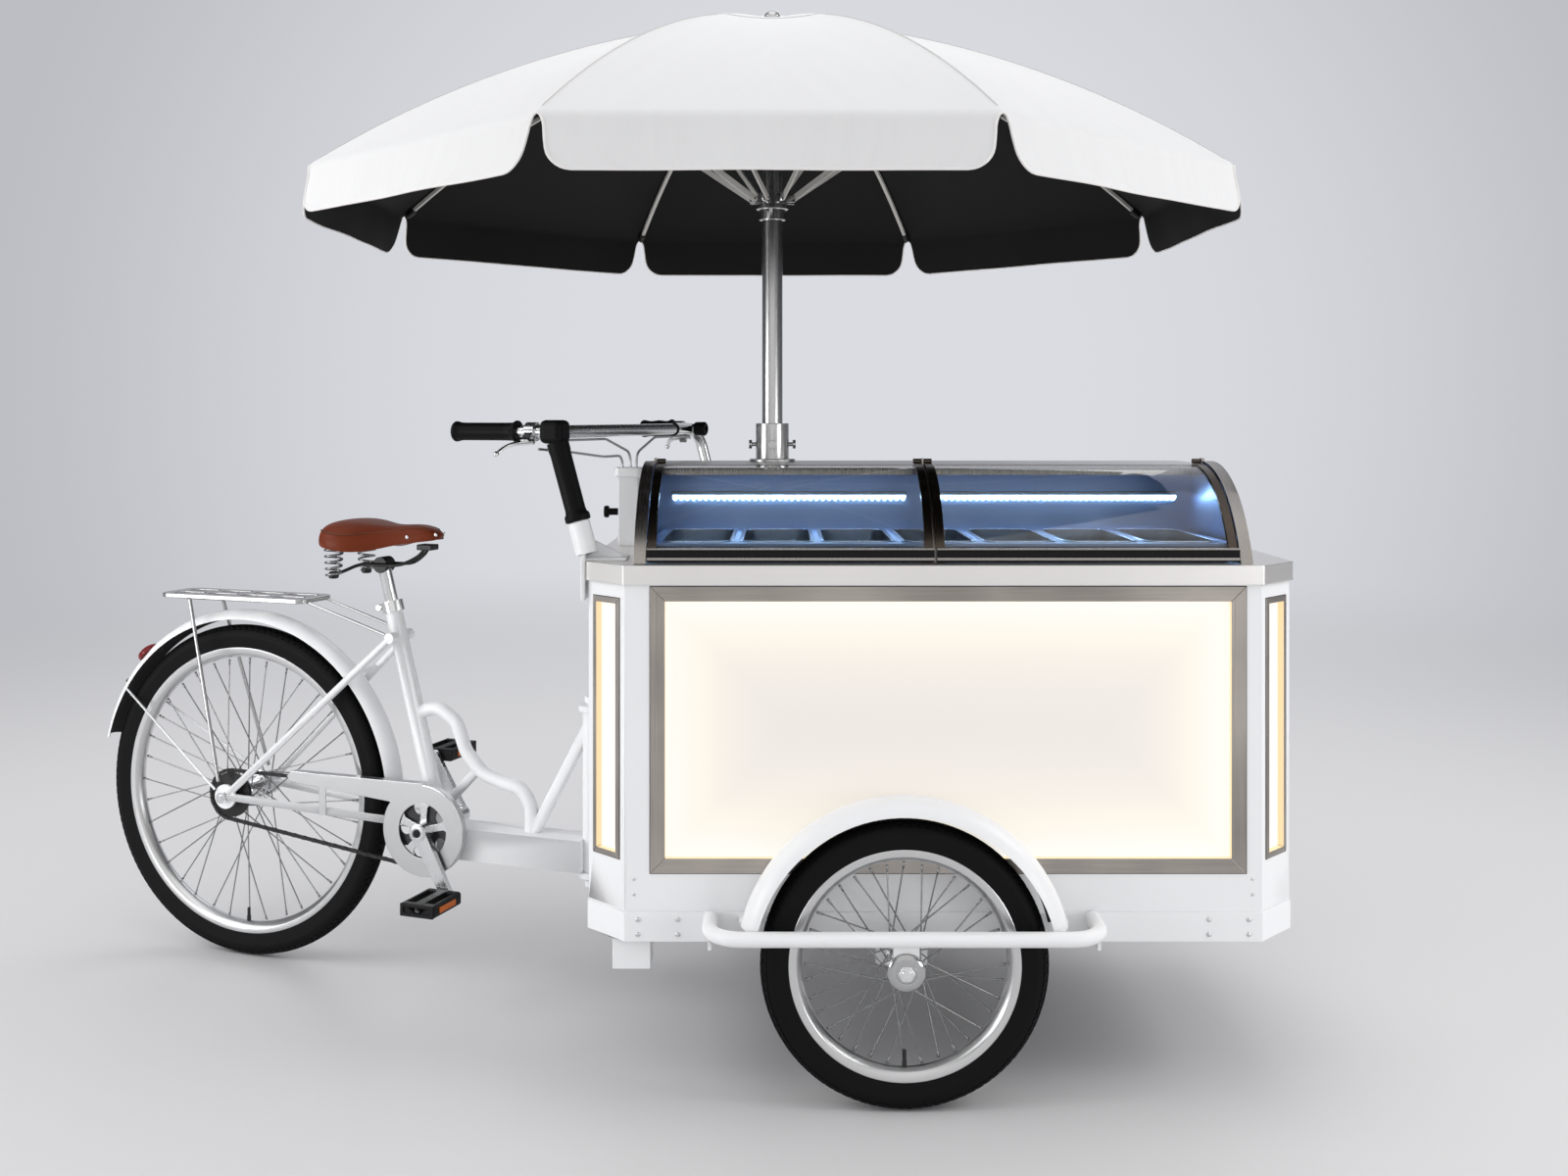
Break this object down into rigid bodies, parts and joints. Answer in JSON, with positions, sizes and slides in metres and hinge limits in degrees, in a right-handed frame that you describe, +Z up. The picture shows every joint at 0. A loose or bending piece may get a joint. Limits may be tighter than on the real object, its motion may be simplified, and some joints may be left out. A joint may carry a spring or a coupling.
{
  "type": "ice cream cart",
  "caption": "Front-box cargo tricycle with a freezer display under hinged curved glass lids, back-lit panels, pan wells and a folding parasol.",
  "frame": {"origin": "on the floor, under the middle of the whole cart's bounding box", "axes": "+X forward out of the box's front end, +Y to the left, +Z up; the rear half is stored turned 20 degrees on the steering pin, as the picture shows it"},
  "size_m": [2.4511, 1.6962, 2.018],
  "materials": {
    "white_paint": "semi-gloss white powder coat",
    "stainless": "brushed stainless sheet and tube",
    "bright_metal": "satin silver",
    "chrome": "bright plated",
    "bronze": "dark bronze anodised",
    "glass": "clear curved glass",
    "lit_acrylic": "warm white opal sheet, lit from inside",
    "light_strip": "cold white light strip",
    "tyre_rubber": "black rubber with a block tread",
    "black_rubber": "matt black rubber",
    "black_plastic": "moulded black plastic",
    "saddle_leather": "tan brown leather",
    "canopy_fabric": "white woven canopy, black inside",
    "cable_jacket": "grey cable jacket",
    "machinery": "black machinery housing",
    "chain_steel": "oiled black steel"
  },
  "bodies": {
    "cart": {"chassis_frame": "white_paint", "cabinet_shell": "white_paint", "light_frames": "stainless", "light_panels": "lit_acrylic", "countertop": "stainless", "display_housing": "stainless", "freezer_liner": "stainless", "ice_cream_pans": "stainless", "led_strips": "light_strip", "cooling_unit": "machinery", "front_axles": "stainless", "guard_rails": "white_paint", "front_mudguards": "white_paint", "handlebar": "stainless", "grips_and_sleeves": "black_rubber", "handlebar_brackets": "white_paint", "brake_cables": "cable_jacket", "umbrella_socket": "stainless"},
    "rear_frame": {"rear_frame": "white_paint", "rear_mudguard": "white_paint", "luggage_rack": "bright_metal", "chain_case": "bright_metal", "chain": "chain_steel"},
    "rear_wheel": {"rear_tyre": "tyre_rubber", "rear_wheel": "bright_metal"},
    "crank": {"crankset": "bright_metal"},
    "pedal_right": {"pedal_right": "black_plastic"},
    "pedal_left": {"pedal_left": "black_plastic"},
    "seat": {"seat_post": "chrome", "saddle_frame": "chrome", "saddle": "saddle_leather"},
    "front_wheel_right": {"front_tyre_right": "tyre_rubber", "front_wheel_right": "bright_metal"},
    "front_wheel_left": {"front_tyre_left": "tyre_rubber", "front_wheel_left": "bright_metal"},
    "lid_rear": {"lid_sash_rear": "bronze", "lid_glass_rear": "glass"},
    "lid_front": {"lid_sash_front": "bronze", "lid_glass_front": "glass"},
    "brake_lever_right": {"brake_lever_right": "bright_metal"},
    "brake_lever_left": {"brake_lever_left": "bright_metal"},
    "umbrella_mast": {"umbrella_mast": "stainless", "umbrella_canopy": "canopy_fabric"},
    "umbrella_runner": {"umbrella_runner": "stainless"},
    "umbrella_rib_1": {"umbrella_rib_1": "bright_metal"},
    "umbrella_strut_1": {"umbrella_strut_1": "bright_metal"},
    "umbrella_rib_2": {"umbrella_rib_2": "bright_metal"},
    "umbrella_strut_2": {"umbrella_strut_2": "bright_metal"},
    "umbrella_rib_3": {"umbrella_rib_3": "bright_metal"},
    "umbrella_strut_3": {"umbrella_strut_3": "bright_metal"},
    "umbrella_rib_4": {"umbrella_rib_4": "bright_metal"},
    "umbrella_strut_4": {"umbrella_strut_4": "bright_metal"},
    "umbrella_rib_5": {"umbrella_rib_5": "bright_metal"},
    "umbrella_strut_5": {"umbrella_strut_5": "bright_metal"},
    "umbrella_rib_6": {"umbrella_rib_6": "bright_metal"},
    "umbrella_strut_6": {"umbrella_strut_6": "bright_metal"},
    "umbrella_rib_7": {"umbrella_rib_7": "bright_metal"},
    "umbrella_strut_7": {"umbrella_strut_7": "bright_metal"},
    "umbrella_rib_8": {"umbrella_rib_8": "bright_metal"},
    "umbrella_strut_8": {"umbrella_strut_8": "bright_metal"}
  },
  "joints": [
    {"name": "steering", "type": "hinge", "parent": "cart", "child": "rear_frame", "pos_m": [-0.07125, -0.074, 0.428], "axis": [0, 0, 1], "range_deg": [-20, 60]},
    {"name": "rear_wheel_spin", "type": "hinge", "parent": "rear_frame", "child": "rear_wheel", "pos_m": [-0.86341, 0.21432, 0.361], "axis": [-0.342, -0.9397, 0], "continuous": true},
    {"name": "crank_spin", "type": "hinge", "parent": "rear_frame", "child": "crank", "pos_m": [-0.40484, 0.04742, 0.33], "axis": [-0.342, -0.9397, 0], "continuous": true},
    {"name": "pedal_right_spin", "type": "hinge", "parent": "crank", "child": "pedal_right", "pos_m": [-0.38942, -0.10612, 0.211], "axis": [-0.342, -0.9397, 0], "continuous": true},
    {"name": "pedal_left_spin", "type": "hinge", "parent": "crank", "child": "pedal_left", "pos_m": [-0.42026, 0.20095, 0.449], "axis": [-0.342, -0.9397, 0], "continuous": true},
    {"name": "seat_height", "type": "slide", "parent": "rear_frame", "child": "seat", "axis": [-0.2358, 0.0858, 0.968], "range_m": [-0.05, 0.1]},
    {"name": "front_wheel_right_spin", "type": "hinge", "parent": "cart", "child": "front_wheel_right", "pos_m": [0.51775, -0.534, 0.247], "axis": [0, 1, 0], "continuous": true},
    {"name": "front_wheel_left_spin", "type": "hinge", "parent": "cart", "child": "front_wheel_left", "pos_m": [0.51775, 0.386, 0.247], "axis": [0, 1, 0], "continuous": true},
    {"name": "lid_rear_hinge", "type": "hinge", "parent": "cart", "child": "lid_rear", "pos_m": [0.31325, -0.19, 1.094], "axis": [-1, 0, 0], "range_deg": [0, 70]},
    {"name": "lid_front_hinge", "type": "hinge", "parent": "cart", "child": "lid_front", "pos_m": [0.86125, -0.19, 1.094], "axis": [-1, 0, 0], "range_deg": [0, 70]},
    {"name": "brake_lever_right_squeeze", "type": "hinge", "parent": "cart", "child": "brake_lever_right", "pos_m": [-0.15272, -0.37836, 1.1345], "axis": [0.2259, 0.6208, -0.7507], "range_deg": [0, 18], "stiffness_Nm_per_rad": 1.5, "springref_deg": -5.73},
    {"name": "brake_lever_left_squeeze", "type": "hinge", "parent": "cart", "child": "brake_lever_left", "pos_m": [0.09399, 0.21025, 1.1345], "axis": [0.2259, 0.6208, 0.7507], "range_deg": [0, 18], "stiffness_Nm_per_rad": 1.5, "springref_deg": -5.73},
    {"name": "umbrella_mast_lift", "type": "slide", "parent": "cart", "child": "umbrella_mast", "axis": [0, 0, 1], "range_m": [0, 0.1]},
    {"name": "umbrella_runner_slide", "type": "slide", "parent": "umbrella_mast", "child": "umbrella_runner", "axis": [0, 0, 1], "range_m": [-0.36, 0], "deforming": ["umbrella_canopy"]},
    {"name": "umbrella_rib_1_fold", "type": "hinge", "parent": "umbrella_mast", "child": "umbrella_rib_1", "pos_m": [0.32209, 0.01339, 1.978], "axis": [-0.3827, 0.9239, 0], "range_deg": [0, 37.74]},
    {"name": "umbrella_strut_1_fold", "type": "hinge", "parent": "umbrella_runner", "child": "umbrella_strut_1", "pos_m": [0.32855, 0.01607, 1.626], "axis": [-0.3827, 0.9239, 0], "range_deg": [-24.86, 0]},
    {"name": "umbrella_rib_2_fold", "type": "hinge", "parent": "umbrella_mast", "child": "umbrella_rib_2", "pos_m": [0.30314, 0.03234, 1.978], "axis": [-0.9239, 0.3827, 0], "range_deg": [0, 37.74]},
    {"name": "umbrella_strut_2_fold", "type": "hinge", "parent": "umbrella_runner", "child": "umbrella_strut_2", "pos_m": [0.30582, 0.0388, 1.626], "axis": [-0.9239, 0.3827, 0], "range_deg": [-24.86, 0]},
    {"name": "umbrella_rib_3_fold", "type": "hinge", "parent": "umbrella_mast", "child": "umbrella_rib_3", "pos_m": [0.27636, 0.03234, 1.978], "axis": [-0.9239, -0.3827, 0], "range_deg": [0, 37.74]},
    {"name": "umbrella_strut_3_fold", "type": "hinge", "parent": "umbrella_runner", "child": "umbrella_strut_3", "pos_m": [0.27368, 0.0388, 1.626], "axis": [-0.9239, -0.3827, 0], "range_deg": [-24.86, 0]},
    {"name": "umbrella_rib_4_fold", "type": "hinge", "parent": "umbrella_mast", "child": "umbrella_rib_4", "pos_m": [0.25741, 0.01339, 1.978], "axis": [-0.3827, -0.9239, 0], "range_deg": [0, 37.74]},
    {"name": "umbrella_strut_4_fold", "type": "hinge", "parent": "umbrella_runner", "child": "umbrella_strut_4", "pos_m": [0.25095, 0.01607, 1.626], "axis": [-0.3827, -0.9239, 0], "range_deg": [-24.86, 0]},
    {"name": "umbrella_rib_5_fold", "type": "hinge", "parent": "umbrella_mast", "child": "umbrella_rib_5", "pos_m": [0.25741, -0.01339, 1.978], "axis": [0.3827, -0.9239, 0], "range_deg": [0, 37.74]},
    {"name": "umbrella_strut_5_fold", "type": "hinge", "parent": "umbrella_runner", "child": "umbrella_strut_5", "pos_m": [0.25095, -0.01607, 1.626], "axis": [0.3827, -0.9239, 0], "range_deg": [-24.86, 0]},
    {"name": "umbrella_rib_6_fold", "type": "hinge", "parent": "umbrella_mast", "child": "umbrella_rib_6", "pos_m": [0.27636, -0.03234, 1.978], "axis": [0.9239, -0.3827, 0], "range_deg": [0, 37.74]},
    {"name": "umbrella_strut_6_fold", "type": "hinge", "parent": "umbrella_runner", "child": "umbrella_strut_6", "pos_m": [0.27368, -0.0388, 1.626], "axis": [0.9239, -0.3827, 0], "range_deg": [-24.86, 0]},
    {"name": "umbrella_rib_7_fold", "type": "hinge", "parent": "umbrella_mast", "child": "umbrella_rib_7", "pos_m": [0.30314, -0.03234, 1.978], "axis": [0.9239, 0.3827, 0], "range_deg": [0, 37.74]},
    {"name": "umbrella_strut_7_fold", "type": "hinge", "parent": "umbrella_runner", "child": "umbrella_strut_7", "pos_m": [0.30582, -0.0388, 1.626], "axis": [0.9239, 0.3827, 0], "range_deg": [-24.86, 0]},
    {"name": "umbrella_rib_8_fold", "type": "hinge", "parent": "umbrella_mast", "child": "umbrella_rib_8", "pos_m": [0.32209, -0.01339, 1.978], "axis": [0.3827, 0.9239, 0], "range_deg": [0, 37.74]},
    {"name": "umbrella_strut_8_fold", "type": "hinge", "parent": "umbrella_runner", "child": "umbrella_strut_8", "pos_m": [0.32855, -0.01607, 1.626], "axis": [0.3827, 0.9239, 0], "range_deg": [-24.86, 0]}
  ],
  "couplings": [
    {"joint": "crank_spin", "follows": "rear_wheel_spin", "ratio": 0.65},
    {"joint": "umbrella_rib_1_fold", "follows": "umbrella_runner_slide", "rad_per_m": -1.8249},
    {"joint": "umbrella_strut_1_fold", "follows": "umbrella_runner_slide", "rad_per_m": 1.2006},
    {"joint": "umbrella_rib_2_fold", "follows": "umbrella_runner_slide", "rad_per_m": -1.8249},
    {"joint": "umbrella_strut_2_fold", "follows": "umbrella_runner_slide", "rad_per_m": 1.2006},
    {"joint": "umbrella_rib_3_fold", "follows": "umbrella_runner_slide", "rad_per_m": -1.8249},
    {"joint": "umbrella_strut_3_fold", "follows": "umbrella_runner_slide", "rad_per_m": 1.2006},
    {"joint": "umbrella_rib_4_fold", "follows": "umbrella_runner_slide", "rad_per_m": -1.8249},
    {"joint": "umbrella_strut_4_fold", "follows": "umbrella_runner_slide", "rad_per_m": 1.2006},
    {"joint": "umbrella_rib_5_fold", "follows": "umbrella_runner_slide", "rad_per_m": -1.8249},
    {"joint": "umbrella_strut_5_fold", "follows": "umbrella_runner_slide", "rad_per_m": 1.2006},
    {"joint": "umbrella_rib_6_fold", "follows": "umbrella_runner_slide", "rad_per_m": -1.8249},
    {"joint": "umbrella_strut_6_fold", "follows": "umbrella_runner_slide", "rad_per_m": 1.2006},
    {"joint": "umbrella_rib_7_fold", "follows": "umbrella_runner_slide", "rad_per_m": -1.8249},
    {"joint": "umbrella_strut_7_fold", "follows": "umbrella_runner_slide", "rad_per_m": 1.2006},
    {"joint": "umbrella_rib_8_fold", "follows": "umbrella_runner_slide", "rad_per_m": -1.8249},
    {"joint": "umbrella_strut_8_fold", "follows": "umbrella_runner_slide", "rad_per_m": 1.2006}
  ]
}
